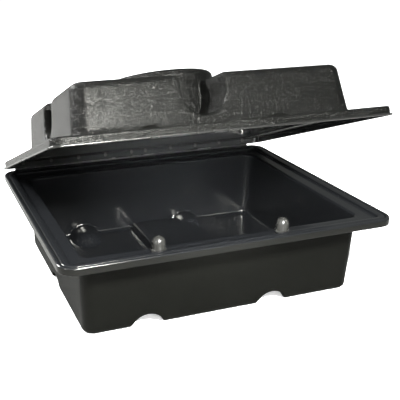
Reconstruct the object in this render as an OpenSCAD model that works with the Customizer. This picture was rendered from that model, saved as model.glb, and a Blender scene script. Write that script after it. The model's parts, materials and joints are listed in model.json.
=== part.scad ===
// Battery box: a formed tray with a rolled rim and a deep lid on two hinges at the back.
// The origin is on the ground under the middle of the whole box, hinges included. +Z is up, -Y is the front.

/* [Box] */
// Width over the tray's rim, in mm
rim_w = 600; // [560:5:640]
// Depth over the tray's rim
rim_d = 490; // [460:5:520]
// Height of the tray, from the ground to the top of its rim
tray_h = 150; // [130:1:180]
// Thickness of the formed sheet
sheet = 4; // [3.5:0.1:4.5]
// Radius of the rim's corners seen from above
rim_corner = 28; // [26:1:30]

/* [Tray] */
// How far the rim stands out past the wall below it
wall_inset = 43; // [41:1:45]
// Height of the rim's down-turned lip
lip_h = 13; // [12:1:14]
// Half the width of each bottom notch at the ground
notch_half = 30; // [26:1:32]
// Height of each bottom notch
notch_h = 22; // [18:1:24]
// How far each notch's straight roof runs in under the floor
notch_run = 34; // [30:1:40]
// Sideways place of the line midway between the notches, from the middle of the box
feature_x = -26; // [-28:1:-20]
// Half the distance between the two front notches
notch_spread = 117; // [112:1:120]
// Height of the raised battery platform above the floor
platform_h = 15; // [10:1:18]

/* [Lid] */
// Angle at which the lid stands open
lid_open = 21; // [0:1:70]
// Height of the lid's top above the rim when the lid is shut
lid_h = 103; // [96:1:110]
// Height of the lid's skirt, from its lower edge to its shelf
skirt_h = 16; // [15:1:17]
// How far the lid's wall stands in from the rim's edge
lid_inset = 50; // [50:1:54]
// Half the width of the round-bottomed channels in the lid
channel_r = 39; // [36:1:42]
// Radius of the round tower in the middle of the lid
tower_r = 98; // [90:1:104]
// Height of the tower above the lid's top
tower_h = 25; // [18:1:28]
// Sideways place of the tower and the front channel
tower_x = -25; // [-28:1:-22]

/* [Posts] */
// Sideways place of the line midway between the posts
post_mid = -20; // [-24:1:-16]
// Half the distance between the two lid posts
post_spread = 112; // [108:1:118]
// Radius of each lid post
post_r = 11; // [9:0.5:12]
// Height of each lid post above the rim's shelf
post_h = 24; // [20:1:25]

/* [Hinges] */
// Sideways distance of each hinge from the middle of the box
hinge_x = 136.4; // [136.4:0.2:137.4]
// Length of each hinge
hinge_len = 270; // [256:2:270]
// Radius of each hinge's barrel
barrel_r = 5; // [4.8:0.1:5.1]
// Radius of each hinge pin
pin_r = 2.5; // [2:0.1:2.6]

/* [Hidden] */
$fn = 64;

// overlap for clean cuts
eps = 0.05;
// half sizes of the rim
half_w = rim_w / 2;
half_d = rim_d / 2;

// tray
wall_r = 20;
draft = 4;
edge_r = 9;
edge_w = 6;
groove_w = 2;
bead_w = 12;
shelf_drop = 6;
shelf_z = tray_h - shelf_drop;
roll_r = (notch_half * notch_half + notch_h * notch_h) / (2 * notch_h);
roll_z = notch_h - roll_r;
platform_x = -36;
platform_w = 132;
platform_step_w = 66;
platform_step_h = 7;

// lid, drawn shut and then turned open about the hinge axis
seat_gap = 0.5;
lid_z = tray_h + seat_gap;
lid_lip = 4;
lid_lip_t = 3;
lid_corner = 20;
lid_wall_r = 24;
lid_draft = 7;
lid_edge_r = 14;
shelf_top = lid_z + skirt_h;
lid_top = tray_h + lid_h;
channel_z = lid_top - 0.8 * (lid_h - skirt_h) + channel_r;
side_channel_r = channel_r * 0.8;
side_channel_z = channel_z - channel_r + side_channel_r;
tower_edge_r = 10;

// posts and their pockets in the lid
post_y = -half_d + 33.3;
pocket_r = post_r + 3;
pocket_wall = 3;
pocket_top = shelf_z + post_h + 3;
screw_r = 2;
screw_len = 14;
screw_head_r = 4.5;
screw_head_h = 2.4;
fit_gap = 0.05;

// hinges
barrel_gap = 0.4;
axis_y = half_d + barrel_r + barrel_gap;
axis_z = tray_h;
knuckle_gap = 0.4;
knuckles = 13;
knuckle_len = hinge_len / knuckles;
leaf_t = 3;
rivet_r = 2;
rivet_head_r = 4;
rivet_head_h = 1.6;
rivet_step = 60;

// The hinges stand out behind the rim, so the middle of the tray is this far from the origin
tray_y = -(axis_y + barrel_r - half_d) / 2;

function post_place(side) = [post_mid + side * post_spread, post_y, shelf_z];

// A flat rounded rectangle with its own half sizes and corner radius
module rounded_rect(hw, hd, r) {
    union() {
        square([2 * (hw - r), 2 * hd], center = true);
        square([2 * hw, 2 * (hd - r)], center = true);
        for (sx = [-1, 1], sy = [-1, 1]) translate([sx * (hw - r), sy * (hd - r)]) circle(r);
    }
}

module slab(hw, hd, r, z, h) {
    translate([0, 0, z]) linear_extrude(h) rounded_rect(hw, hd, r);
}

module ring(hw, hd, r, t, z, h) {
    difference() {
        slab(hw, hd, r, z, h);
        slab(hw - t, hd - t, r - t, z - 1, h + 2);
    }
}

// Four corner discs at one height, to be hulled with those at other heights
module corner_discs(hw, hd, r, z) {
    for (sx = [-1, 1], sy = [-1, 1])
        translate([sx * (hw - r), sy * (hd - r), z]) cylinder(r = r, h = 0.01, $fn = 32);
}

// A tub that narrows from its wide end to its narrow end, with the narrow end's edge rounded off.
// rise is 1 when the narrow end is up and -1 when it is down.
module tub(hw, hd, r, draft, edge, z_wide, z_narrow, rise) {
    hull() {
        corner_discs(hw, hd, r, z_wide);
        corner_discs(hw - draft, hd - draft, r, z_narrow - rise * edge);
        corner_discs(hw - draft - edge * 0.3, hd - draft - edge * 0.3, r - edge * 0.3,
            z_narrow - rise * edge * 0.3);
        corner_discs(hw - draft - edge, hd - draft - edge, r - edge, z_narrow);
    }
}

// The turn that opens whatever is drawn shut
module opened() {
    translate([0, axis_y, axis_z]) rotate([-lid_open, 0, 0]) translate([0, -axis_y, -axis_z]) children();
}

// One notch's round roof, running in along +Y from the wall at y = 0
module notch_roof(r, run) {
    translate([0, -20, roll_z]) rotate([-90, 0, 0]) cylinder(r = r, h = run + 20);
    translate([0, run, roll_z]) sphere(r);
}

// All six notches: two at the front, two at the back and one at each side
module notches(r) {
    bottom_w = half_w - wall_inset - draft;
    bottom_d = half_d - wall_inset - draft;
    for (side = [-1, 1]) {
        translate([feature_x + side * notch_spread, -bottom_d, 0]) notch_roof(r, notch_run);
        translate([feature_x + side * notch_spread, bottom_d, 0])
            rotate([0, 0, 180]) notch_roof(r, notch_run);
        translate([side * bottom_w, 0, 0]) rotate([0, 0, side * 90]) notch_roof(r, notch_run);
    }
}

// The rim seen in section: a down-turned lip, a raised bead and a lower shelf inside it
module rim() {
    bead_in = edge_w + groove_w;
    slab(half_w, half_d, rim_corner, shelf_z - sheet, sheet);
    ring(half_w, half_d, rim_corner, sheet, tray_h - lip_h, lip_h);
    ring(half_w, half_d, rim_corner, edge_w, shelf_z - 1, shelf_drop + 1);
    ring(half_w - bead_in, half_d - bead_in, rim_corner - bead_in, bead_w, shelf_z - 1, shelf_drop + 1);
}

module tray_outside() {
    tub(half_w - wall_inset, half_d - wall_inset, wall_r, draft, edge_r, shelf_z, 0, -1);
}

module tray_blank() {
    difference() {
        union() {
            rim();
            tray_outside();
        }
        tub(half_w - wall_inset - sheet, half_d - wall_inset - sheet, wall_r - sheet, draft, edge_r,
            tray_h + 1, sheet, -1);
    }
}

// Battery platform in two heights, from z to z + its height, drawn in by the given margin all round
module platform(z, margin) {
    reach = half_d - wall_inset - draft - edge_r - 2 - margin;
    translate([platform_x + margin, -reach, z]) cube([platform_w - 2 * margin, 2 * reach, platform_h]);
    translate([platform_x + margin, -reach, z])
        cube([platform_w + platform_step_w - 2 * margin, 2 * reach, platform_step_h]);
}

// The floor is pushed up into the platform, and stays hollow under it
module tray_with_platform() {
    difference() {
        union() {
            tray_blank();
            platform(sheet - eps, 0);
        }
        translate([0, 0, -eps]) platform(-eps, sheet);
        platform(eps, sheet);
    }
}

module tray() {
    color("dimgray") difference() {
        union() {
            tray_with_platform();
            intersection() {
                notches(roll_r + sheet);
                tray_outside();
            }
        }
        notches(roll_r);
        for (side = [-1, 1]) {
            translate(post_place(side)) cylinder(r = screw_r + fit_gap, h = 40, center = true);
            hinge_place(side) for (i = [-2:2]) translate([i * rivet_step, -sheet, rivet_drop(-1)]) {
                rivet_hole();
                rivet_seat();
            }
        }
    }
}

// The post that the lid's pocket drops over
module post(side) {
    color("darkslategray") translate(post_place(side)) difference() {
        rotate_extrude() polygon(concat(
            [[0, 0], [post_r + 2, 0], [post_r + 2, 1.5], [post_r, 3.5]],
            [for (a = [0:10:90]) [post_r * cos(a), post_h - post_r + post_r * sin(a)]]));
        translate([0, 0, -1]) cylinder(r = screw_r + fit_gap, h = screw_len - sheet + 1.5);
    }
}

// A pan-head screw, up through the shelf into the post
module post_screw(side) {
    color("silver") translate(post_place(side) - [0, 0, sheet]) {
        cylinder(r = screw_r, h = screw_len);
        translate([0, 0, -screw_head_h]) cylinder(r = screw_head_r, h = screw_head_h);
    }
}

// A round-bottomed channel cut down from the lid's top, running out along -Y
module channel(r, z, reach) {
    translate([0, -reach, z]) rotate([-90, 0, 0]) cylinder(r = r, h = reach);
    translate([-r, -reach, z]) cube([2 * r, reach, lid_h + tower_h]);
}

// The front, back and two side channels, grown by the sheet's thickness for the inside
module channels(grow) {
    for (turn = [0, 180]) translate([tower_x, 0, 0]) rotate([0, 0, turn])
        channel(channel_r + grow, channel_z, half_d);
    for (turn = [90, 270]) rotate([0, 0, turn])
        channel(side_channel_r + grow, side_channel_z, half_w);
}

// The tower is a round drum with a rolled top edge
module tower(r, top, z_low) {
    translate([tower_x, 0, 0]) rotate_extrude() polygon(concat(
        [[0, z_low], [r, z_low]],
        [for (a = [0:10:90])
            [r - tower_edge_r + tower_edge_r * cos(a), top - tower_edge_r + tower_edge_r * sin(a)]],
        [[0, top]]));
}

module lid_body(grow) {
    difference() {
        tub(half_w - lid_inset - grow, half_d - lid_inset - grow, lid_wall_r - grow, lid_draft, lid_edge_r,
            shelf_top - 1 - grow, lid_top - grow, 1);
        channels(grow);
    }
}

module lid_shut() {
    inner_w = half_w - lid_lip;
    inner_d = half_d - lid_lip;
    difference() {
        union() {
            lid_body(0);
            tower(tower_r, lid_top + tower_h, shelf_top - sheet);
            slab(inner_w, inner_d, lid_corner - lid_lip, shelf_top - sheet, sheet);
            ring(inner_w, inner_d, lid_corner - lid_lip, sheet - 0.5, lid_z, skirt_h);
            ring(half_w, half_d, lid_corner, lid_lip + 2, lid_z, lid_lip_t);
            for (side = [-1, 1])
                translate([post_place(side)[0], post_y, shelf_top - 1])
                    cylinder(r = pocket_r + pocket_wall, h = pocket_top + pocket_wall - shelf_top + 1);
        }
        lid_body(sheet);
        translate([0, 0, -sheet]) tower(tower_r - sheet, lid_top + tower_h, shelf_top - 2 * sheet);
        for (side = [-1, 1]) {
            translate([post_place(side)[0], post_y, lid_z])
                cylinder(r = pocket_r, h = pocket_top - lid_z);
            hinge_place(side) for (i = [-2:2])
                translate([i * rivet_step, -lid_lip - sheet, rivet_drop(1)]) rivet_hole();
        }
    }
}

module lid() {
    color("gray") opened() lid_shut();
}

// The rivet line's height from the hinge axis, above it on the lid and below it on the tray
function rivet_drop(rise) = rise > 0 ? 9.2 : -9;

module hinge_place(side) {
    translate([side * hinge_x, half_d, axis_z]) children();
}

module rivet_hole() {
    translate([0, -1, 0]) rotate([-90, 0, 0]) cylinder(r = rivet_r + fit_gap, h = 12);
}

// Room for a rivet's inner head under the rim, open from below
module rivet_seat() {
    r = rivet_head_r * 0.8 + 0.2;
    h = rivet_head_h + 0.2;
    translate([0, eps, 0]) rotate([90, 0, 0]) cylinder(r = r, h = h);
    translate([-r, eps - h, -12]) cube([2 * r, h, 12]);
}

// Every second knuckle, starting from the first or from the second one
module knuckle_row(first, grow) {
    for (i = [first:2:knuckles - 1])
        translate([-hinge_len / 2 + i * knuckle_len + knuckle_gap / 2 - grow, 0, 0])
            cube([knuckle_len - knuckle_gap + 2 * grow, 100, 100]);
}

module barrel(first) {
    intersection() {
        translate([-hinge_len / 2, barrel_r + barrel_gap, 0])
            rotate([0, 90, 0]) cylinder(r = barrel_r, h = hinge_len);
        translate([0, -50, -50]) knuckle_row(first, 0);
    }
}

module pin_hole() {
    translate([-hinge_len, barrel_r + barrel_gap, 0])
        rotate([0, 90, 0]) cylinder(r = pin_r + fit_gap, h = 2 * hinge_len);
}

// The leaf on the tray's lip, which holds the first knuckle and every second one after it
module tray_leaf(side) {
    color("darkgray") hinge_place(side) difference() {
        union() {
            barrel(0);
            translate([-hinge_len / 2, 0, -lip_h]) cube([hinge_len, leaf_t, lip_h - barrel_r - barrel_gap]);
            intersection() {
                translate([-hinge_len / 2, 0, -lip_h]) cube([hinge_len, leaf_t, lip_h - 1]);
                translate([0, -50, -50]) knuckle_row(0, 0);
            }
        }
        pin_hole();
        for (i = [-2:2]) translate([i * rivet_step, -1, rivet_drop(-1)]) rivet_hole();
    }
}

// The leaf on the lid's skirt, with the knuckles between on arms that clear the skirt's lip
module lid_leaf_shut(side) {
    plate_z = lid_lip_t + seat_gap + 0.2;
    hinge_place(side) difference() {
        union() {
            barrel(1);
            translate([-hinge_len / 2, -lid_lip, plate_z]) cube([hinge_len, lid_lip, skirt_h - plate_z]);
            intersection() {
                translate([-hinge_len / 2, -lid_lip, plate_z]) cube([hinge_len, lid_lip + barrel_r + 1, 2]);
                translate([0, -50, -50]) knuckle_row(1, 0);
            }
        }
        pin_hole();
        for (i = [-2:2]) translate([i * rivet_step, -lid_lip - 1, rivet_drop(1)]) rivet_hole();
    }
}

module lid_leaf(side) {
    color("darkgray") opened() lid_leaf_shut(side);
}

module hinge_pin(side) {
    head = 1.2;
    color("silver") hinge_place(side) translate([-hinge_len / 2 - head, barrel_r + barrel_gap, 0])
        rotate([0, 90, 0]) {
            cylinder(r = pin_r, h = hinge_len + 2 * head);
            cylinder(r = pin_r + 1, h = head - 0.2);
        }
}

// A rivet along Y through the leaf and the sheet, with a head at each end
module rivet(grip) {
    rotate([-90, 0, 0]) {
        cylinder(r = rivet_r, h = grip);
        translate([0, 0, -rivet_head_h]) cylinder(r = rivet_head_r * 0.8, h = rivet_head_h);
        translate([0, 0, grip]) cylinder(r1 = rivet_head_r * 0.85, r2 = rivet_head_r * 0.5, h = rivet_head_h);
    }
}

module tray_rivets(side) {
    color("silver") hinge_place(side) for (i = [-2:2])
        translate([i * rivet_step, -sheet, rivet_drop(-1)]) rivet(sheet + leaf_t);
}

module lid_rivets(side) {
    color("silver") opened() hinge_place(side) for (i = [-2:2])
        translate([i * rivet_step, -lid_lip - sheet + 0.5, rivet_drop(1)]) rivet(sheet - 0.5 + lid_lip);
}

module placed() {
    translate([0, tray_y, 0]) children();
}

placed() tray();
placed() lid();
placed() post(-1);  // post_left
placed() post(1);  // post_right
placed() post_screw(-1);  // post_screw_left
placed() post_screw(1);  // post_screw_right
placed() tray_leaf(-1);  // hinge_left_tray_leaf
placed() lid_leaf(-1);  // hinge_left_lid_leaf
placed() hinge_pin(-1);  // hinge_left_pin
placed() tray_rivets(-1);  // hinge_left_tray_rivets
placed() lid_rivets(-1);  // hinge_left_lid_rivets
placed() tray_leaf(1);  // hinge_right_tray_leaf
placed() lid_leaf(1);  // hinge_right_lid_leaf
placed() hinge_pin(1);  // hinge_right_pin
placed() tray_rivets(1);  // hinge_right_tray_rivets
placed() lid_rivets(1);  // hinge_right_lid_rivets
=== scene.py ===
"""Battery box: a formed black tray and a hinged, grained lid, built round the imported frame.

Everything is in metres in the frame's axes: +Z up, -Y the front. The lid is worked out shut and
then turned open about the hinge by the angle that the joint's lower limit gives.
"""
import json
import math
import bpy
import numpy as np
from mathutils import Euler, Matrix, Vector


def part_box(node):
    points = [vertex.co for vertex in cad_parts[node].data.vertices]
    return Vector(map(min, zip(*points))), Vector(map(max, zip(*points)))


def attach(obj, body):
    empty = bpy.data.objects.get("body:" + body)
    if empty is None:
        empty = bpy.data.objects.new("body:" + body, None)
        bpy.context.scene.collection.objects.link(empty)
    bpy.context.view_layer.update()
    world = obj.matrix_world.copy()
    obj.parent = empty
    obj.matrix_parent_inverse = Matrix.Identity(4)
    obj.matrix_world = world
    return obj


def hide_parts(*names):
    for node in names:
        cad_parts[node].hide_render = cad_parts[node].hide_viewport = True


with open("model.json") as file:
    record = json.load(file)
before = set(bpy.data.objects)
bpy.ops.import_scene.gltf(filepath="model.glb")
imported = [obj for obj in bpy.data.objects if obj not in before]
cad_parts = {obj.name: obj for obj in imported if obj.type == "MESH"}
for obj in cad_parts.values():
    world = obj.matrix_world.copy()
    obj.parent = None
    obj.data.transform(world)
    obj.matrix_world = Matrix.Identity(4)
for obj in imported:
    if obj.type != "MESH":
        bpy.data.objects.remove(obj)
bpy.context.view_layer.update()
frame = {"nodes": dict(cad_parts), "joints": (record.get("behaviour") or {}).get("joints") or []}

MM = 0.001

# ---------------------------------------------------------------- driving sizes, from the frame
tray_low, tray_high = (np.array(v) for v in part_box("tray"))
HALF_W, HALF_D = (tray_high[:2] - tray_low[:2]) / 2
TRAY_H = tray_high[2]
TRAY_Y = (tray_low[1] + tray_high[1]) / 2
HINGE = next(j for j in frame["joints"] if j["name"] == "lid_hinge")
AXIS_Y, AXIS_Z = HINGE["pos_m"][1] - TRAY_Y, HINGE["pos_m"][2]
OPEN = -math.radians(HINGE["range_deg"][0])
POST_BOX = {side: [np.array(v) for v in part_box("post_" + side)] for side in ("left", "right")}
POST_X = {side: (b[0][0] + b[1][0]) / 2 for side, b in POST_BOX.items()}
POST_Y = (POST_BOX["left"][0][1] + POST_BOX["left"][1][1]) / 2 - TRAY_Y

# ---------------------------------------------------------------- sizes of the two sheets
SHEET = 4 * MM
# on a sheet's inner face, the radius of a rounded edge is smaller by this share of the thickness
INNER_SHARE = 0.6
# a side's straight run takes this much of its parameter, and its corners take the rest
ZONE = 0.88
# degrees of turn in each piece of a profile's arc
ARC_STEP = 15

# tray
RIM_CORNER = 28 * MM
WALL_INSET = 43 * MM
WALL_CORNER = 20 * MM
DRAFT = 4 * MM
FOOT_R = 9 * MM
LIP_H = 13 * MM
SHELF_Z = TRAY_H - 6 * MM
EDGE_W = 6 * MM
BEAD_END = 20 * MM
NOTCH_X = (-143 * MM, 91 * MM)
NOTCH_R = 31.45 * MM
NOTCH_Z = -9.45 * MM
NOTCH_RUN = 34 * MM
PLATFORM_X = (-36 * MM, 96 * MM, 162 * MM)
PLATFORM_H = (15 * MM, 7 * MM)
PLATFORM_EASE = 7 * MM
ROOF_BLEND = 2 * MM
DECK_BLEND = 1.5 * MM
# spacing of the tray's samples: round its section, and along its sides as a share of their parameter
SECTION_STEP = 9 * MM
FINE_X, FINE_Y, COARSE = 0.0068, 0.0125, 0.03
# the samples are fine for this far to each side of a notch's middle and of a platform's edge
NOTCH_FINE = 37 * MM
PLATFORM_FINE = 8 * MM

# lid
SEAT_GAP = 0.5 * MM
LID_Z = TRAY_H + SEAT_GAP
SKIRT_H = 16 * MM
LID_H = 103 * MM
SHELF_TOP = LID_Z + SKIRT_H
LID_TOP = TRAY_H + LID_H
LIP_W = 4 * MM
LIP_T = 3 * MM
LID_CORNER = 20 * MM
LID_INSET = 50 * MM
LID_WALL_R = 24 * MM
# how far the wall leans in over its whole height, from the shelf to the top
LID_DRAFT = 8.4 * MM
TOP_R = 14 * MM
TOWER_X = -25 * MM
TOWER_R = 98 * MM
TOWER_H = 25 * MM
TOWER_ROLL = 10 * MM
TOWER_FOOT_R = 4 * MM
CHANNEL_R = 39 * MM
CHANNEL_DEPTH = 0.8 * (LID_H - SKIRT_H)
SIDE_CHANNEL_R = 0.8 * CHANNEL_R
CHANNEL_RADII = np.array([CHANNEL_R, SIDE_CHANNEL_R, CHANNEL_R, SIDE_CHANNEL_R])
BRIM_R = 6 * MM
MOUTH_R = 5 * MM
MOUTH_SPREAD = 22 * MM
POCKET_R = 20 * MM
POCKET_EASE = 14 * MM
POCKET_H = 6.4 * MM
# height of the wall's foot above the shelf, where the skirt's rings take over
FOOT_RISE = 6 * MM
SKIRT_STEP = 3.2 * MM
# the skirt's corner keeps its centre for this far in, and then grows to the wall's corner
CORNER_SPAN = 8 * MM
# lines of the lid's mesh in each channel, front, right, back and left, and between two channels
CHANNEL_LINES = (34, 30, 34, 30)
GAP_LINES = 78

# posts
POST_FLANGE = 1.5 * MM
POST_FLARE = 2 * MM

# the places of a sheet's three materials in its object's slots
GRAINED, EDGE, SMOOTH = 0, 1, 2


# ---------------------------------------------------------------- shape tools
def rounded_profile(stations, spacing):
    """A path through corner stations (a, b, radius): each corner is replaced by an arc of its radius, tangent
    to both of its straight runs, and every run longer than the spacing is divided evenly."""
    points = [np.array(s[:2], float) for s in stations]
    path = [points[0]]
    for i in range(1, len(points) - 1):
        before, here, after = points[i - 1], points[i], points[i + 1]
        radius = stations[i][2]
        d_in = (here - before) / np.linalg.norm(here - before)
        d_out = (after - here) / np.linalg.norm(after - here)
        turn = math.acos(max(-1.0, min(1.0, float(d_in @ d_out))))
        reach = radius * math.tan(turn / 2)
        if radius <= 0 or turn < 1e-4:
            path.append(here)
            continue
        start = here - d_in * reach
        side = np.array([-d_in[1], d_in[0]])
        if side @ d_out < 0:
            side = -side
        centre = start + side * radius
        steps = max(3, int(math.degrees(turn) / ARC_STEP))
        for k in range(steps + 1):
            a = turn * k / steps
            path.append(centre + radius * (-side * math.cos(a) + d_in * math.sin(a)))
    path.append(points[-1])
    out = [path[0]]
    for a, b in zip(path, path[1:]):
        length = np.linalg.norm(b - a)
        if length < 1e-6:
            continue
        n = max(1, math.ceil(length / spacing))
        for k in range(1, n + 1):
            out.append(a + (b - a) * k / n)
    return np.array(out)


def unit(angle):
    """Unit vectors in the plane at the given angles."""
    return np.stack([np.cos(angle), np.sin(angle)], -1)


def smooth_max(a, b, k):
    """The larger of two heights, with the crease between them blended over a band of width k."""
    h = np.clip(0.5 + 0.5 * (a - b) / k, 0, 1)
    return b + (a - b) * h + k * h * (1 - h)


def smooth_step(x):
    """A rise from 0 to 1 that starts and ends level."""
    t = np.clip(x, 0, 1)
    return t * t * (3 - 2 * t)


def loop_on_rect(side, t, half_w, half_d, radius, zone):
    """A point on a rounded rectangle. side is 0 front, 1 right, 2 back, 3 left, and t runs from -1 to 1 along
    it. The straight run takes |t| up to zone, and past that the point goes round half of the corner's arc."""
    long_half = np.where((side % 2) == 0, half_w, half_d)
    off_half = np.where((side % 2) == 0, half_d, half_w)
    a = np.abs(t)
    turn = np.clip((a - zone) / (1 - zone), 0, 1) * math.pi / 4
    along = np.where(a <= zone, a / zone * (long_half - radius), long_half - radius + radius * np.sin(turn))
    off = off_half - np.where(a <= zone, 0, radius * (1 - np.cos(turn)))
    along = along * np.sign(t)
    x = np.choose(side, [along, off, -along, -off])
    y = np.choose(side, [-off, along, off, -along])
    return x, y


def make_mesh(name, verts, quads, tris, finish=None):
    """Puts vertex, quad and triangle arrays, drawn about the tray's middle, into a new mesh object at the
    origin. finish holds the slot of each face's material, where there is more than one."""
    mesh = bpy.data.meshes.new(name)
    verts = np.asarray(verts) + (0, TRAY_Y, 0)
    loops = np.concatenate([np.asarray(quads, np.int32).ravel(), np.asarray(tris, np.int32).ravel()])
    sizes = np.concatenate([np.full(len(quads), 4, np.int32), np.full(len(tris), 3, np.int32)])
    starts = np.concatenate([[0], np.cumsum(sizes)[:-1]]).astype(np.int32)
    mesh.vertices.add(len(verts))
    mesh.vertices.foreach_set("co", np.asarray(verts, np.float32).ravel())
    mesh.loops.add(len(loops))
    mesh.loops.foreach_set("vertex_index", loops)
    mesh.polygons.add(len(sizes))
    mesh.polygons.foreach_set("loop_start", starts)
    mesh.update(calc_edges=True)
    mesh.validate()
    mesh.polygons.foreach_set("use_smooth", np.full(len(mesh.polygons), True))
    if finish is not None:
        mesh.polygons.foreach_set("material_index", np.asarray(finish, np.int32))
    obj = bpy.data.objects.new(name, mesh)
    bpy.context.scene.collection.objects.link(obj)
    return obj


def ring_quads(rows, cols, first=0):
    """Quads between neighbouring rings of a rows x cols grid whose columns close on themselves."""
    r = np.arange(rows - 1)[:, None] * cols
    c = np.arange(cols)[None, :]
    d = (c + 1) % cols
    return np.stack([r + c, r + d, r + cols + d, r + cols + c], -1).reshape(-1, 4) + first


def fan(centre, first, cols, flip):
    """Triangles from one centre point to a ring of points."""
    c = np.arange(cols)
    d = (c + 1) % cols
    cells = [np.full(cols, centre), d + first, c + first]
    return np.stack(cells[::-1] if flip else cells, -1)


def lathe(name, profile, centre, cols=64):
    """A surface of revolution about Z: the profile's (radius, height) points turned round the centre."""
    profile = np.asarray(profile)
    ring = unit(np.arange(cols) * 2 * math.pi / cols)
    xy = profile[1:-1, 0][:, None, None] * ring[None]
    z = np.repeat(profile[1:-1, 1][:, None], cols, 1)
    grid = np.concatenate([xy, z[..., None]], -1).reshape(-1, 3)
    ends = np.array([[0, 0, profile[0, 1]], [0, 0, profile[-1, 1]]])
    verts = np.concatenate([grid, ends]) + np.asarray(centre)
    rows = len(profile) - 2
    count = rows * cols
    tris = np.concatenate([fan(count, 0, cols, False), fan(count + 1, count - cols, cols, True)])
    return make_mesh(name, verts, ring_quads(rows, cols), tris)


# ---------------------------------------------------------------- tray
def spaced(low, high, dense, fine, coarse):
    """Sample places from low to high, fine inside the dense ranges and coarse between them."""
    at = [low]
    while at[-1] < high - 1e-9:
        inside = any(a - coarse <= at[-1] <= b for a, b in dense)
        at.append(min(high, at[-1] + (fine if inside else coarse)))
    if at[-1] - at[-2] < fine / 2:
        at.pop(-2)
    return np.array(at)


def notch_roof(x, y, grow):
    """Height of the roof over the nearest notch: a cylinder lying along the notch's run and ended by a half
    ball. The front's notches are repeated at the back, and each end has one at its middle."""
    radius = NOTCH_R + grow
    wall_y = HALF_D - WALL_INSET - DRAFT
    wall_x = HALF_W - WALL_INSET - DRAFT
    best = np.full(np.shape(x), -1.0)
    places = [(x - cx, wall_y - np.abs(y)) for cx in NOTCH_X] + [(y, wall_x - np.abs(x))]
    for lateral, inward in places:
        past = np.maximum(0, inward - NOTCH_RUN)
        rest = radius ** 2 - lateral ** 2 - past ** 2
        height = NOTCH_Z + np.sign(rest) * np.sqrt(np.abs(rest))
        best = np.maximum(best, height)
    return best


def platform_height(x, y, grow):
    """Height of the two-step platform above the floor, with sloped, eased sides."""
    reach = HALF_D - WALL_INSET - DRAFT - FOOT_R - 2 * MM + grow
    ease = PLATFORM_EASE
    x0, x1, x2 = PLATFORM_X
    across = smooth_step((x - x0 + grow) / ease + 0.5)
    high = across * smooth_step((x1 + grow - x) / ease + 0.5)
    low = across * smooth_step((x2 + grow - x) / ease + 0.5)
    end = smooth_step((reach - np.abs(y)) / ease + 0.5)
    return end * (low * PLATFORM_H[1] + high * (PLATFORM_H[0] - PLATFORM_H[1]))


def tray_corner(inset, outside):
    """Corner radius of the tray's ring at an inset: it shrinks with the inset over the beads, then grows to
    the wall's, and shrinks again over the foot."""
    at_bead = RIM_CORNER - BEAD_END
    wall = WALL_CORNER if outside else WALL_CORNER - SHEET
    wall_at = WALL_INSET if outside else WALL_INSET + SHEET
    if inset <= BEAD_END:
        return RIM_CORNER - inset
    if inset <= wall_at:
        return at_bead + (wall - at_bead) * (inset - BEAD_END) / (wall_at - BEAD_END)
    return wall - max(0.0, inset - wall_at - DRAFT)


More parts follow.
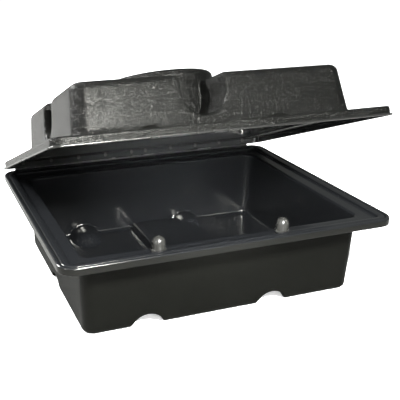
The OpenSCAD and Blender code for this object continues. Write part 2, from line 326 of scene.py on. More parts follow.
def build_tray():
    """One closed skin: the underside, the outer wall, the rim's section and the inside are rings carried
    round rounded rectangles, and two grids fill the floor. Heights are then lifted over the notches and the
    platform."""
    wall = WALL_INSET
    foot = wall + DRAFT
    h = TRAY_H
    outer = [(foot + FOOT_R + 2 * MM, 0, 0), (foot, 0, FOOT_R), (wall, SHELF_Z - SHEET, 4 * MM),
             (SHEET, SHELF_Z - SHEET, 2 * MM), (SHEET, h - LIP_H, 0.8 * MM), (0, h - LIP_H, 1.5 * MM),
             (0, h, 2.5 * MM), (EDGE_W, h, 1 * MM), (EDGE_W + 0.9 * MM, h - 3 * MM, 0.5 * MM),
             (EDGE_W + 1.5 * MM, h - 3 * MM, 0.5 * MM), (EDGE_W + 2.4 * MM, h - 0.8 * MM, 2 * MM),
             (EDGE_W + 7 * MM, h, 8 * MM), (BEAD_END, h - 1.2 * MM, 2 * MM)]
    inner = [(BEAD_END, h - 1.2 * MM, 2 * MM), (BEAD_END + 1.5 * MM, SHELF_Z, 3 * MM),
             (wall + SHEET, SHELF_Z - 0.6 * MM, 5.5 * MM), (foot + SHEET, SHEET, FOOT_R),
             (foot + SHEET + FOOT_R + 2 * MM, SHEET, 0)]
    path = rounded_profile(outer + inner[1:], SECTION_STEP)
    flange = int(np.argmax(path[:, 0] <= SHEET + 1 * MM))
    split = int(np.argmin(np.hypot(path[:, 0] - EDGE_W - 7 * MM, path[:, 1] - h)))

    reach = (HALF_W - wall - DRAFT - WALL_CORNER) / ZONE
    busy = [(c, NOTCH_FINE) for c in NOTCH_X] + [(c, PLATFORM_FINE) for c in PLATFORM_X]
    xs = spaced(-1, 1, [((c - w) / reach, (c + w) / reach) for c, w in busy], FINE_X, COARSE)
    # fine at the end's notch, and at both corners
    ys = spaced(-1, 1, [(-0.2, 0.2), (-1, -0.9), (0.9, 1)], FINE_Y, COARSE)
    nx, ny = len(xs) - 1, len(ys) - 1
    side = np.repeat([0, 1, 2, 3], [nx, ny, nx, ny])
    t = np.concatenate([xs[:-1], ys[:-1], -xs[::-1][:-1], -ys[::-1][:-1]])
    rings = []
    look = []
    for i, (inset, z) in enumerate(path):
        out = i < split
        x, y = loop_on_rect(side, t, HALF_W - inset, HALF_D - inset, tray_corner(inset, out), ZONE)
        rings.append(np.stack([x, y, np.full_like(x, z)], -1))
        look.append(GRAINED if i < flange else EDGE if out and z < h - 2 * MM else SMOOTH)
    rings = np.array(rings)
    cols = len(side)

    def patch(ring):
        """Grid filling a ring: each point blends the four sides that it lies between."""
        front = ring[:nx + 1]
        right = ring[nx:nx + ny + 1]
        back = ring[nx + ny:2 * nx + ny + 1][::-1]
        left = np.concatenate([ring[2 * nx + ny:], ring[:1]])[::-1]
        u = ((xs + 1) / 2)[None, :, None]
        v = ((ys + 1) / 2)[:, None, None]
        corners = ((1 - u) * (1 - v) * front[0] + u * (1 - v) * front[-1] +
                   (1 - u) * v * back[0] + u * v * back[-1])
        return (1 - v) * front[None] + v * back[None] + (1 - u) * left[:, None] + u * right[:, None] - corners

    def patch_faces(ring_first, patch_first, flip):
        """Quads of a patch: its border takes the ring's vertices, and its inside takes the patch's own."""
        index = np.zeros((ny + 1, nx + 1), int)
        index[1:-1, 1:-1] = patch_first + np.arange((ny - 1) * (nx - 1)).reshape(ny - 1, nx - 1)
        index[0, :] = ring_first + np.arange(nx + 1)
        index[:, -1] = ring_first + nx + np.arange(ny + 1)
        index[-1, ::-1] = ring_first + nx + ny + np.arange(nx + 1)
        index[::-1, 0] = ring_first + (2 * nx + ny + np.arange(ny + 1)) % cols
        cells = [index[:-1, :-1], index[:-1, 1:], index[1:, 1:], index[1:, :-1]]
        return np.stack(cells[::-1] if flip else cells, -1).reshape(-1, 4)

    n_ring = rings.shape[0] * cols
    low = patch(rings[0])[1:-1, 1:-1].reshape(-1, 3)
    top = patch(rings[-1])[1:-1, 1:-1].reshape(-1, 3)
    verts = np.concatenate([rings.reshape(-1, 3), low, top])
    is_out = np.concatenate([np.repeat(np.arange(len(rings)) < split, cols),
                             np.full(len(low), True), np.full(len(top), False)])
    finish = np.concatenate([np.repeat(look[:-1], cols),
                             np.full(nx * ny, GRAINED), np.full(nx * ny, SMOOTH)])
    quads = np.concatenate([
        ring_quads(rings.shape[0], cols),
        patch_faces(0, n_ring, True),
        patch_faces((rings.shape[0] - 1) * cols, n_ring + len(low), False)])
    x, y, z = verts.T
    low_part = z < 0.5 * TRAY_H
    grow = np.where(is_out, 0.0, SHEET)
    roof = notch_roof(x, y, grow)
    lifted = np.where(roof > z - 8 * MM, smooth_max(z, roof, ROOF_BLEND), z)
    steps = platform_height(x, y, grow - SHEET)
    on_deck = low_part & (steps > 0.2 * MM)
    lifted = np.where(on_deck, smooth_max(lifted, steps + grow, DECK_BLEND), lifted)
    verts[:, 2] = np.where(low_part, lifted, z)
    return make_mesh("tray_shell", verts, quads, np.zeros((0, 3), int), finish)


# ---------------------------------------------------------------- lid
def channel_section(radius, depth, count):
    """Section across a channel, from brim to brim: a rounded brim, a straight side, a half circle, a side and
    a brim. Gives sideways place, height from the lid's top (down is negative), and the surface's own normal
    at each sample."""
    side_len = max(0.0, depth - radius - BRIM_R)
    brim_len = BRIM_R * math.pi / 2
    total = 2 * (brim_len + side_len) + math.pi * radius
    s = np.linspace(0, total, count)
    half = total / 2
    m = np.minimum(s, total - s)
    sign = np.where(s <= half, -1.0, 1.0)
    a = np.clip(m / BRIM_R, 0, math.pi / 2)
    b = np.clip(m - brim_len, 0, side_len)
    c = np.clip(m - brim_len - side_len, 0, None) / radius
    dx = radius + BRIM_R - BRIM_R * np.sin(a) - radius * (1 - np.cos(c))
    dz = -BRIM_R * (1 - np.cos(a)) - b - radius * np.sin(c)
    bowl = m > brim_len + side_len
    n_side = np.where(bowl, -np.cos(c), -np.sin(a))
    n_up = np.where(bowl, np.sin(c), np.cos(a))
    return sign * dx, dz, sign * n_side, n_up


def lid_lines():
    """The lid's lines, in order round it: each runs from the tower out to the wall. A line in a channel stays
    at one sideways place; a line between channels fans out over the flat top. Gives for each line its kind
    (the channel's side, or -1), sideways place, drop, normal, share of the way across its channel (-1 to 1)
    or its gap (0 to 1), gap (or -1), and the share of the channel's lines that lie in its bowl."""
    blocks = []
    for side, (radius, count) in enumerate(zip(CHANNEL_RADII, CHANNEL_LINES)):
        dx, dz, n_side, n_up = channel_section(radius, CHANNEL_DEPTH, count)
        in_bowl = np.mean(-dz > CHANNEL_DEPTH - radius)
        across = np.linspace(-1, 1, count)
        blocks.append(np.broadcast_arrays(side, dx, dz, n_side, n_up, across, -1, in_bowl))
        between = np.arange(1, GAP_LINES + 1) / (GAP_LINES + 1)
        blocks.append(np.broadcast_arrays(-1, 0, 0, 0, 1, between, side, 0.5))
    keys = ("kind", "lateral", "drop", "n_side", "n_up", "share", "gap", "bowl")
    return dict(zip(keys, np.concatenate(blocks, axis=1).astype(float)))


# directions out of and along the front, right, back and left sides
SIDE_DIR = np.array([[0, -1], [1, 0], [0, 1], [-1, 0]], float)
SIDE_RUN = np.array([[1, 0], [0, 1], [-1, 0], [0, -1]], float)


def lid_upper(lines, g):
    """Rings of the lid's upper skin, g inside its outer face, from the middle of the tower's top out to the
    foot of the wall. At the foot of the tower and at the edge of the top, each line turns through a quarter
    of an ellipse between its own surface and the next one."""
    kind = lines["kind"].astype(int)
    in_channel = kind >= 0
    gap = lines["gap"].astype(int)
    n = len(kind)
    tower_c = np.array([TOWER_X, 0.0])
    r_tower = TOWER_R - g
    top_z = LID_TOP - g
    side = np.where(in_channel, kind, 0)
    run = SIDE_RUN[side]
    out = SIDE_DIR[side]
    spread = lines["lateral"] - g * lines["n_side"]
    z_line = np.where(in_channel, LID_TOP + lines["drop"] - g * lines["n_up"], top_z)
    brim = CHANNEL_RADII + BRIM_R
    shrink = g * INNER_SHARE

    # foot of the tower
    depth_out = np.sqrt(np.maximum(r_tower ** 2 - spread ** 2, 0))
    p_tower = tower_c + run * spread[:, None] + out * depth_out[:, None]
    mid_angle = np.array([-math.pi / 2, 0, math.pi / 2, math.pi])
    half_angle = np.arcsin(brim / r_tower)
    j = np.where(gap >= 0, gap, 0)
    a0 = mid_angle[j] + half_angle[j]
    a1 = mid_angle[j] + math.pi / 2 - half_angle[(j + 1) % 4]
    a_gap = a0 + (a1 - a0) * lines["share"]
    ring_gap = tower_c + r_tower * unit(a_gap)
    p_tower = np.where(in_channel[:, None], p_tower, ring_gap)
    a_tower = np.where(in_channel, mid_angle[side] + np.arcsin(np.clip(spread / r_tower, -1, 1)), a_gap)
    a_fan = np.where(in_channel, mid_angle[side] + lines["share"] * half_angle[side], a_gap)

    # edge of the top
    def wall_half(z):
        """Half width and half depth of the wall at a height: it leans in evenly from the shelf to the top."""
        inset = LID_INSET + g + LID_DRAFT * np.clip((z - SHELF_TOP) / (LID_TOP - SHELF_TOP), 0, 1)
        return HALF_W - inset, HALF_D - inset

    def on_wall(z, lateral, fan_share, half_mouth):
        """Place and outward direction on the wall at a height: at a sideways place in a channel, or in a gap
        at an even share of the perimeter between two channels, whose half widths are half_mouth."""
        hw, hd = wall_half(z)
        radius = LID_WALL_R - g
        centre = np.choose(side, [TOWER_X, 0, -TOWER_X, 0])
        long_half = np.where(side % 2 == 0, hw, hd)
        off_half = np.where(side % 2 == 0, hd, hw)
        along = centre + lateral
        x = np.choose(side, [along, off_half, -along, -off_half])
        y = np.choose(side, [-off_half, along, off_half, -along])
        # gap: from the brim of channel j, along side j, round the corner, and along side j + 1
        k = (j + 1) % 4
        cj = np.choose(j, [TOWER_X, 0, -TOWER_X, 0])
        ck = np.choose(k, [TOWER_X, 0, -TOWER_X, 0])
        first = np.where(j % 2 == 0, hw, hd) - radius - (cj + half_mouth[j])
        second = np.where(k % 2 == 0, hw, hd) - radius + (ck - half_mouth[k])
        arc = radius * math.pi / 2
        s = fan_share * (first + arc + second)
        turn = np.clip((s - first) / arc, 0, 1) * math.pi / 2
        on_second = np.maximum(0, s - first - arc)
        on_first = np.minimum(s, first)
        corner_along = np.where(j % 2 == 0, hw, hd) - radius
        corner_off = np.where(j % 2 == 0, hd, hw) - radius
        gx = np.where(s < first, cj + half_mouth[j] + on_first, corner_along + radius * np.sin(turn))
        gy = corner_off + radius * np.cos(turn) - on_second
        gap_x = np.choose(j, [gx, gy, -gx, -gy])
        gap_y = np.choose(j, [-gy, gx, gy, -gx])
        face_x = np.choose(j, [np.sin(turn), np.cos(turn), -np.sin(turn), -np.cos(turn)])
        face_y = np.choose(j, [-np.cos(turn), np.sin(turn), np.cos(turn), -np.sin(turn)])
        px = np.where(in_channel, x, gap_x)
        py = np.where(in_channel, y, gap_y)
        m = np.where(in_channel[:, None], out, np.stack([face_x, face_y], -1))
        return np.stack([px, py], -1), m

    # the top's edge is rounder than the mouth of a channel, and every line reaches the wall below that edge
    top_r, mouth_r = TOP_R - shrink, MOUTH_R - shrink
    depth = -lines["drop"]
    reach_in = mouth_r + (top_r - mouth_r) * (1 - smooth_step(depth / top_r))
    reach_down = np.maximum(top_r - depth, mouth_r * lines["n_up"])
    reach_side = run * (mouth_r * lines["n_side"])[:, None]
    over = np.concatenate([np.where(in_channel[:, None], reach_side, 0), reach_down[:, None]], -1)
    share = np.where(in_channel, 0, lines["share"])
    p_wall, m_wall = on_wall(z_line - reach_down, spread, share, brim)
    rings = []

    def put(xy, z):
        """Adds a ring at the given places and height."""
        rings.append(np.concatenate([xy, np.broadcast_to(z, (n,))[:, None]], -1))

    # tower top, rolled edge and side
    roll = TOWER_ROLL - shrink
    tower_top = LID_TOP + TOWER_H - g
    for f in (0.08, 0.3, 0.55, 0.8, 0.95):
        put(tower_c + f * (r_tower - roll) * unit(a_fan), tower_top)
    for a in np.linspace(0, math.pi / 2, 7):
        r_roll = r_tower - roll + roll * math.sin(a)
        put(tower_c + r_roll * unit(a_fan), tower_top - roll * (1 - math.cos(a)))
    foot_r = TOWER_FOOT_R + g
    n3 = np.concatenate([run * lines["n_side"][:, None], lines["n_up"][:, None]], -1)
    radial = np.concatenate([(p_tower - tower_c) / r_tower, np.zeros((n, 1))], -1)
    up = n3 - radial * np.sum(n3 * radial, -1, keepdims=True)
    up /= np.linalg.norm(up, axis=-1, keepdims=True)
    line_dir = p_wall - p_tower
    line_dir /= np.linalg.norm(line_dir, axis=-1, keepdims=True)
    out_dir = np.concatenate([line_dir, np.zeros((n, 1))], -1)
    base = np.concatenate([p_tower, z_line[:, None]], -1)
    fillet = []
    for a in np.linspace(math.pi / 2, 0, 6):
        fillet.append(base + foot_r * ((1 - math.sin(a)) * out_dir + (1 - math.cos(a)) * up))
    head = fillet[0]
    head_a = np.arctan2(head[:, 1] - tower_c[1], head[:, 0] - tower_c[0])
    head_a = a_tower + (head_a - a_tower + math.pi) % (2 * math.pi) - math.pi
    z_roll = tower_top - roll
    for f in np.linspace(0, 1, 8)[1:-1]:
        a = a_fan + (head_a - a_fan) * f
        put(tower_c + r_tower * unit(a), z_roll + (head[:, 2] - z_roll) * f)
    rings.extend(fillet)

    # out along the line to the edge, over it, and down the wall
    inward = np.concatenate([np.where(in_channel[:, None], -out, -m_wall), np.zeros((n, 1))], -1)
    edge = np.concatenate([p_wall, z_line[:, None]], -1)
    turn_over = [edge + (1 - math.sin(a)) * reach_in[:, None] * inward - (1 - math.cos(a)) * over
                 for a in np.linspace(0, math.pi / 2, 8)]
    start, end = fillet[-1], turn_over[0]
    for f in np.linspace(0, 1, 15)[1:-1]:
        rings.append(start + (end - start) * f)
    rings.extend(turn_over)
    foot_z = SHELF_TOP - g + FOOT_RISE
    # below a channel the lines hang straight from its bowl, and spread out from its two upright sides
    mouth = brim[side] - BRIM_R + mouth_r
    bowl_share = lines["bowl"]
    part = np.abs(lines["share"])
    beyond = mouth + MOUTH_SPREAD * (part - bowl_share) / (1 - bowl_share)
    hang = np.where(part > bowl_share, beyond, mouth * np.sin(part / bowl_share * math.pi / 2))
    foot_mouth = brim - BRIM_R + mouth_r + MOUTH_SPREAD
    p_foot, _ = on_wall(np.full(n, foot_z), np.sign(lines["share"]) * hang, share, foot_mouth)
    foot = np.concatenate([p_foot, np.full((n, 1), foot_z)], -1)
    last = turn_over[-1]
    for f in np.linspace(0, 1, 13)[1:]:
        rings.append(last + (foot - last) * f)
    return np.array(rings)


def lid_skirt(foot_out):
    """Rings from the outer foot of the wall, over the shelf, the skirt and its lip, and back inside to the
    inner foot. Each column slides along its own side so that the rings keep their order from the wall's
    corner to the skirt's."""
    profile = rounded_profile([
        (LID_INSET, SHELF_TOP + FOOT_RISE, 0), (LID_INSET, SHELF_TOP, 5 * MM),
        (LIP_W, SHELF_TOP, 3.5 * MM), (LIP_W, LID_Z + LIP_T, 1 * MM), (0, LID_Z + LIP_T, 1.2 * MM),
        (0, LID_Z, 1.2 * MM), (LIP_W + 3.5 * MM, LID_Z, 1 * MM),
        (LIP_W + 3.5 * MM, SHELF_TOP - SHEET, 2 * MM), (LID_INSET + SHEET, SHELF_TOP - SHEET, 5 * MM),
        (LID_INSET + SHEET, SHELF_TOP - SHEET + FOOT_RISE, 0)], SKIRT_STEP)
    x, y = foot_out[:, 0], foot_out[:, 1]
    hw, hd = HALF_W - LID_INSET, HALF_D - LID_INSET
    r = LID_WALL_R
    # the wall's own angle: the direction that each column faces
    cx = np.clip(x, -(hw - r), hw - r)
    cy = np.clip(y, -(hd - r), hd - r)
    nrm = np.stack([x - cx, y - cy], -1)
    nrm /= np.linalg.norm(nrm, axis=-1, keepdims=True)
    px, py = cx / (hw - r), cy / (hd - r)
    rings = []
    for inset, z in profile:
        if inset <= CORNER_SPAN:
            radius = LID_CORNER - inset
        else:
            start = LID_CORNER - CORNER_SPAN
            radius = start + (LID_WALL_R - start) * (inset - CORNER_SPAN) / (LID_INSET - CORNER_SPAN)
            radius = min(radius, LID_WALL_R)
        w, d = HALF_W - inset - radius, HALF_D - inset - radius
        rings.append(np.stack([px * w + nrm[:, 0] * radius, py * d + nrm[:, 1] * radius,
                               np.full(len(x), z)], -1))
    return np.array(rings)


def pocket_bump(x, y):
    """Height of the low domes that clear the rim's posts: an eased rise from each dome's edge to its top."""
    rise = np.zeros(np.shape(x))
    for cx in POST_X.values():
        d = np.hypot(x - cx, y - POST_Y)
        rise = np.maximum(rise, smooth_step((POCKET_R - d) / POCKET_EASE))
    return rise * POCKET_H


def turn_open(points):
    """Turns points drawn with the lid shut to where the open lid holds them."""
    y, z = points[..., 1] - AXIS_Y, points[..., 2] - AXIS_Z
    c, s = math.cos(OPEN), math.sin(OPEN)
    return np.stack([points[..., 0], AXIS_Y + y * c + z * s, AXIS_Z - y * s + z * c], -1)


def build_lid():
    """One closed skin: the outer face from the tower's middle to the skirt's lip, then the inner face back to
    the middle. Low domes lift the shelf over the posts."""
    lines = lid_lines()
    outer = lid_upper(lines, 0.0)
    inner = lid_upper(lines, SHEET)
    skirt = lid_skirt(outer[-1])
    shelf = skirt.copy()
    on_shelf = np.abs(shelf[..., 2] - SHELF_TOP + SHEET / 2) < SHEET
    shelf[..., 2] += np.where(on_shelf, pocket_bump(shelf[..., 0], shelf[..., 1]), 0)
    rings = np.concatenate([outer, shelf[1:-1], inner[::-1]])
    rows, cols = rings.shape[:2]
    z_skirt = skirt[:, 0, 2]
    lip = len(outer) - 1 + np.flatnonzero(z_skirt < LID_Z + LIP_T + 1 * MM)
    look = np.full(rows - 1, GRAINED)
    look[lip[-1]:] = SMOOTH
    look[lip[0]:lip[-1]] = EDGE
    finish = np.concatenate([np.repeat(look, cols), np.full(cols, GRAINED), np.full(cols, SMOOTH)])
    centre = np.array([[TOWER_X, 0, LID_TOP + TOWER_H], [TOWER_X, 0, LID_TOP + TOWER_H - SHEET]])
    verts = turn_open(np.concatenate([rings.reshape(-1, 3), centre]))
    count = rows * cols
    tris = np.concatenate([fan(count, 0, cols, True), fan(count + 1, count - cols, cols, False)])
    quads = ring_quads(rows, cols)[:, ::-1]
    return make_mesh("lid_shell", verts, quads, tris, finish)


# ---------------------------------------------------------------- posts
def build_post(side):
    """A domed post: a foot flange, a short flare, a straight stem and a round top, turned about its own
    axis."""
    low, high = POST_BOX[side]
    r_foot = (high[0] - low[0]) / 2
    r = r_foot - POST_FLARE
    tall = high[2] - low[2]
    dome = [(r * math.cos(v), tall - r + r * math.sin(v)) for v in np.linspace(0, math.pi / 2, 12)]
    flare = [(r + POST_FLARE * (1 - math.sin(v)), POST_FLANGE + POST_FLARE * (1 - math.cos(v)))
             for v in np.linspace(0, math.pi / 2, 6)]
    flange = [(0, 0), (r_foot - 0.5 * MM, 0), (r_foot, 0.5 * MM), (r_foot, 1.2 * MM)]
    profile = flange + flare + dome[:-1] + [(0, tall)]
    return lathe("post_cap_" + side, profile, (POST_X[side], POST_Y, low[2]))


# ---------------------------------------------------------------- materials
def new_material(name):
    """A new material with a principled shader joined to its output."""
    material = bpy.data.materials.new(name)
    material.use_nodes = True
    tree = material.node_tree
    tree.nodes.clear()
    shader = tree.nodes.new("ShaderNodeBsdfPrincipled")
    output = tree.nodes.new("ShaderNodeOutputMaterial")
    tree.links.new(shader.outputs["BSDF"], output.inputs["Surface"])
    return material, tree, shader


def leather_grain_group():
    """Pressed leather grain: cells with flat tops and warped edges, with a fine tooth on top. Puts out a
    height."""
    group = bpy.data.node_groups.new("leather_grain", "ShaderNodeTree")
    group.interface.new_socket("Cell scale", in_out="INPUT", socket_type="NodeSocketFloat")
    group.interface.new_socket("Fine scale", in_out="INPUT", socket_type="NodeSocketFloat")
    group.interface.new_socket("Height", in_out="OUTPUT", socket_type="NodeSocketFloat")
    add, link = group.nodes.new, group.links.new
    g_in, g_out = add("NodeGroupInput"), add("NodeGroupOutput")
    where = add("ShaderNodeTexCoord")
    warp = add("ShaderNodeTexNoise")
    warp.inputs["Scale"].default_value = 240
    shift = add("ShaderNodeVectorMath")
    shift.operation = "MULTIPLY_ADD"
    shift.inputs[1].default_value = (0.0022, 0.0022, 0.0022)
    cells = add("ShaderNodeTexVoronoi")
    cells.feature = "DISTANCE_TO_EDGE"
    fine = add("ShaderNodeTexNoise")
    fine.inputs["Detail"].default_value = 3
    plateau = add("ShaderNodeMapRange")
    plateau.inputs["From Max"].default_value = 0.22
    plateau.interpolation_type = "SMOOTHSTEP"
    mix = add("ShaderNodeMath")
    mix.operation = "MULTIPLY_ADD"
    mix.inputs[1].default_value = 0.35
    link(where.outputs["Object"], warp.inputs["Vector"])
    link(warp.outputs["Color"], shift.inputs[0])
    link(where.outputs["Object"], shift.inputs[2])
    link(shift.outputs[0], cells.inputs["Vector"])
    link(where.outputs["Object"], fine.inputs["Vector"])
    link(g_in.outputs["Cell scale"], cells.inputs["Scale"])
    link(g_in.outputs["Fine scale"], fine.inputs["Scale"])
    link(cells.outputs["Distance"], plateau.inputs["Value"])
    link(fine.outputs["Fac"], mix.inputs[0])
    link(plateau.outputs["Result"], mix.inputs[2])
    link(mix.outputs[0], g_out.inputs["Height"])
    return group


def dust_group():
    """Thin dust and handling haze: large soft patches broken up by small ones. Puts out a mask."""
    group = bpy.data.node_groups.new("dust_haze", "ShaderNodeTree")
    group.interface.new_socket("Amount", in_out="INPUT", socket_type="NodeSocketFloat")
    group.interface.new_socket("Mask", in_out="OUTPUT", socket_type="NodeSocketFloat")
    add, link = group.nodes.new, group.links.new
    g_in, g_out = add("NodeGroupInput"), add("NodeGroupOutput")
    where = add("ShaderNodeTexCoord")
    soft = add("ShaderNodeTexNoise")
    soft.inputs["Scale"].default_value = 11
    soft.inputs["Detail"].default_value = 6
    reach = add("ShaderNodeMapRange")
    reach.inputs["From Min"].default_value = 0.35
    reach.inputs["From Max"].default_value = 0.85
    scale = add("ShaderNodeMath")
    scale.operation = "MULTIPLY"
    link(where.outputs["Object"], soft.inputs["Vector"])
    link(soft.outputs["Fac"], reach.inputs["Value"])
    link(reach.outputs["Result"], scale.inputs[0])
    link(g_in.outputs["Amount"], scale.inputs[1])
    link(scale.outputs[0], g_out.inputs["Mask"])
    return group


GRAIN = leather_grain_group()
DUST = dust_group()


def sheet_material(grain_sizes, name, base, dusty, rough, ior, bump_mm, haze):
    """Black formed sheet with a pressed grain at the two given scales, and a thin haze over it that lightens
    the base colour towards the dusty one and dulls the shine."""
    material, tree, shader = new_material(name)
    add, link = tree.nodes.new, tree.links.new
    grain = add("ShaderNodeGroup")
    grain.node_tree = GRAIN
    grain.inputs["Cell scale"].default_value = grain_sizes[0]
    grain.inputs["Fine scale"].default_value = grain_sizes[1]
    dust = add("ShaderNodeGroup")
    dust.node_tree = DUST
    dust.inputs["Amount"].default_value = haze
    colour = add("ShaderNodeMix")
    colour.data_type = "RGBA"
    colour.inputs["A"].default_value = (*base, 1)
    colour.inputs["B"].default_value = (*dusty, 1)
    link(dust.outputs["Mask"], colour.inputs["Factor"])
    link(colour.outputs["Result"], shader.inputs["Base Color"])
    dulled = add("ShaderNodeMath")
    dulled.operation = "MULTIPLY_ADD"
    dulled.inputs[1].default_value = 0.2
    dulled.inputs[2].default_value = rough
    link(dust.outputs["Mask"], dulled.inputs[0])
    link(dulled.outputs[0], shader.inputs["Roughness"])
    bump = add("ShaderNodeBump")
    bump.inputs["Strength"].default_value = 1.0
    bump.inputs["Distance"].default_value = bump_mm * MM
    link(grain.outputs["Height"], bump.inputs["Height"])
    link(bump.outputs["Normal"], shader.inputs["Normal"])
    shader.inputs["IOR"].default_value = ior
    shader.inputs["Specular Tint"].default_value = (1.0, 1.0, 0.93, 1)
    return material


def metal_material(name, base, rough, metallic, scale):
    """Metal, coated metal or hard plastic with fine directionless scuffing."""
    material, tree, shader = new_material(name)
    add, link = tree.nodes.new, tree.links.new
    where = add("ShaderNodeTexCoord")
    noise = add("ShaderNodeTexNoise")
    noise.inputs["Scale"].default_value = scale
    noise.inputs["Detail"].default_value = 5
    reach = add("ShaderNodeMapRange")
    reach.inputs["To Min"].default_value = rough - 0.1
    reach.inputs["To Max"].default_value = rough + 0.15
    bump = add("ShaderNodeBump")
    bump.inputs["Distance"].default_value = 0.05 * MM
    link(where.outputs["Object"], noise.inputs["Vector"])
    link(noise.outputs["Fac"], reach.inputs["Value"])
    link(reach.outputs["Result"], shader.inputs["Roughness"])
    link(noise.outputs["Fac"], bump.inputs["Height"])
    link(bump.outputs["Normal"], shader.inputs["Normal"])
    shader.inputs["Base Color"].default_value = (*base, 1)
    shader.inputs["Metallic"].default_value = metallic
    return material


def give(obj, *materials):
    """Puts the materials in an object's slots, and leaves each face's own slot number as it was."""
    numbers = np.zeros(len(obj.data.polygons), np.int32)
    obj.data.polygons.foreach_get("material_index", numbers)
    obj.data.materials.clear()
    for material in materials:
        obj.data.materials.append(material)
    obj.data.polygons.foreach_set("material_index", np.minimum(numbers, len(materials) - 1))


# for each sheet: its grained face, its formed edge and its smooth inside. A row gives the material's name,
# clean colour, dusty colour, roughness, index of refraction, grain height in mm and amount of haze.
TRAY_GRAIN, LID_GRAIN = (800, 2200), (300, 800)
TRAY_FINISH = [sheet_material(TRAY_GRAIN, *row) for row in (
    ("tray_grained", (0.0025, 0.0027, 0.0021), (0.008, 0.008, 0.007), 0.38, 1.155, 0.16, 0.2),
    ("tray_edge", (0.0045, 0.0047, 0.0043), (0.009, 0.009, 0.008), 0.22, 1.27, 0.05, 0.15),
    # painted light: this clean colour is lighter than the grained face's to stand in for light on the tray's
    # inside
    ("tray_inside", (0.0065, 0.007, 0.0077), (0.01, 0.01, 0.0095), 0.16, 1.47, 0.004, 0.05))]
LID_FINISH = [sheet_material(LID_GRAIN, *row) for row in (
    ("lid_grained", (0.0022, 0.0023, 0.0021), (0.006, 0.006, 0.0055), 0.24, 1.21, 0.36, 0.15),
    ("lid_edge", (0.008, 0.0082, 0.0078), (0.014, 0.014, 0.013), 0.26, 1.45, 0.03, 0.15),
    # painted light: this clean colour is lighter than the grained face's to stand in for light on the lid's
    # underside
    ("lid_inside", (0.018, 0.019, 0.02), (0.024, 0.024, 0.022), 0.18, 1.5, 0.004, 0.05))]
post_black = metal_material("post_black_plastic", (0.022, 0.022, 0.02), 0.22, 0.0, 160)
hinge_black = metal_material("hinge_black_steel", (0.012, 0.012, 0.0125), 0.42, 0.0, 300)
rivet_metal = metal_material("rivet_black", (0.006, 0.006, 0.006), 0.6, 0.0, 220)
screw_metal = metal_material("screw_zinc", (0.6, 0.61, 0.63), 0.3, 1.0, 220)

# ---------------------------------------------------------------- the object
tray = build_tray()
give(tray, *TRAY_FINISH)
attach(tray, "tray")
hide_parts("tray")

lid = build_lid()
give(lid, *LID_FINISH)
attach(lid, "lid")
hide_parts("lid")

for post_side in ("left", "right"):
    post = build_post(post_side)
    give(post, post_black)
    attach(post, "tray")
    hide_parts("post_" + post_side)

for node_name, node in frame["nodes"].items():
    if "rivets" in node_name:
        give(node, rivet_metal)
    elif "screw" in node_name:
        give(node, screw_metal)
    elif "hinge" in node_name:
        give(node, hinge_black)

# ---------------------------------------------------------------- stage
floor_mesh = bpy.data.meshes.new("floor")
FLOOR_HALF = 6
floor_corners = [(x * FLOOR_HALF, y * FLOOR_HALF, 0) for x, y in ((-1, -1), (1, -1), (1, 1), (-1, 1))]
floor_mesh.from_pydata(floor_corners, [], [(0, 1, 2, 3)])
floor = bpy.data.objects.new("floor", floor_mesh)
bpy.context.scene.collection.objects.link(floor)
# the camera sees a pale floor that glows a little, and every other ray sees a dim one
floor_mat, floor_tree, floor_shader = new_material("floor_pale")
floor_shader.inputs["Base Color"].default_value = (0.9, 0.9, 0.9, 1)
floor_shader.inputs["Roughness"].default_value = 0.9
floor_shader.inputs["Emission Color"].default_value = (1, 1, 1, 1)
floor_shader.inputs["Emission Strength"].default_value = 0.5
floor_dim = floor_tree.nodes.new("ShaderNodeBsdfDiffuse")
floor_dim.inputs["Color"].default_value = (0.3, 0.3, 0.29, 1)
floor_rays = floor_tree.nodes.new("ShaderNodeLightPath")
floor_mix = floor_tree.nodes.new("ShaderNodeMixShader")
floor_out = next(node for node in floor_tree.nodes if node.type == "OUTPUT_MATERIAL")
floor_tree.links.new(floor_rays.outputs["Is Camera Ray"], floor_mix.inputs[0])
floor_tree.links.new(floor_dim.outputs[0], floor_mix.inputs[1])
floor_tree.links.new(floor_shader.outputs[0], floor_mix.inputs[2])
floor_tree.links.new(floor_mix.outputs[0], floor_out.inputs["Surface"])
floor_mesh.materials.append(floor_mat)


def area_light(name, place, target, size, power, spread=180):
    """A rectangular lamp at a place, turned to face a target. The spread is in degrees."""
    data = bpy.data.lights.new(name, "AREA")
    data.shape = "RECTANGLE"
    data.size, data.size_y = size
    data.energy = power
    data.spread = math.radians(spread)
    light = bpy.data.objects.new(name, data)
    light.location = place
    light.rotation_euler = (Vector(target) - Vector(place)).to_track_quat("-Z", "Y").to_euler()
    bpy.context.scene.collection.objects.link(light)


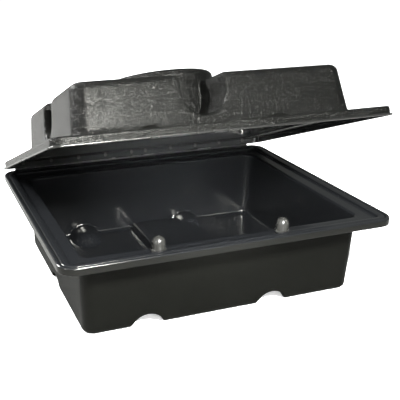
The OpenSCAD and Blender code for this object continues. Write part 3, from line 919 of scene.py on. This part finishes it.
area_light("key_front", (-0.06, -1.0, 0.9), (-0.2, -0.2, 0.3), (0.18, 0.18), 72)
area_light("flash", (-0.42, -1.4, 0.8), (0, 0, 0.1), (0.12, 0.12), 9)
area_light("inside_fill", (-0.2, -0.85, 0.42), (0.08, 0.2, 0.11), (0.06, 0.06), 0.7, spread=26)
area_light("left_strip", (-1.9, -0.9, 0.9), (-0.2, -0.1, 0.15), (0.3, 1.0), 16)
area_light("floor_behind", (-1.6, 1.6, 1.5), (-0.8, 1.1, 0), (0.8, 0.8), 240)
area_light("top_soft", (0.2, 0.5, 2.3), (0, 0, 0.1), (1.4, 1.2), 9)
sun_data = bpy.data.lights.new("overhead", "SUN")
sun_data.energy = 1.25
sun_data.angle = math.radians(50)
sun = bpy.data.objects.new("overhead", sun_data)
sun.rotation_euler = (math.radians(14), math.radians(-12), 0)
bpy.context.scene.collection.objects.link(sun)

world = bpy.data.worlds.new("studio")
bpy.context.scene.world = world
world.use_nodes = True
world_tree = world.node_tree
world_tree.nodes.clear()
rays = world_tree.nodes.new("ShaderNodeLightPath")
seen = world_tree.nodes.new("ShaderNodeBackground")
seen.inputs["Color"].default_value = (1, 1, 1, 1)
seen.inputs["Strength"].default_value = 1.0
around = world_tree.nodes.new("ShaderNodeBackground")
around.inputs["Color"].default_value = (0.96, 1, 0.95, 1)
around.inputs["Strength"].default_value = 0.17
both = world_tree.nodes.new("ShaderNodeMixShader")
sky = world_tree.nodes.new("ShaderNodeOutputWorld")
world_tree.links.new(rays.outputs["Is Camera Ray"], both.inputs[0])
world_tree.links.new(around.outputs[0], both.inputs[1])
world_tree.links.new(seen.outputs[0], both.inputs[2])
world_tree.links.new(both.outputs[0], sky.inputs["Surface"])
bpy.context.scene.view_settings.view_transform = "Standard"

CAMERA_PLACE = (-0.5077, -1.1501, 0.612)
CAMERA_TURN = (68.608, -0.04, -19.934)
LENS_MM, SENSOR_MM = 62.8, 36
CAMERA_SHIFT = (0.1585, 0.0153)
camera_data = bpy.data.cameras.new("camera")
camera = bpy.data.objects.new("camera", camera_data)
camera.location = CAMERA_PLACE
camera.rotation_euler = Euler([math.radians(a) for a in CAMERA_TURN], "XYZ")
camera_data.sensor_width = SENSOR_MM
camera_data.lens = LENS_MM
camera_data.shift_x, camera_data.shift_y = CAMERA_SHIFT
bpy.context.scene.collection.objects.link(camera)
bpy.context.scene.camera = camera
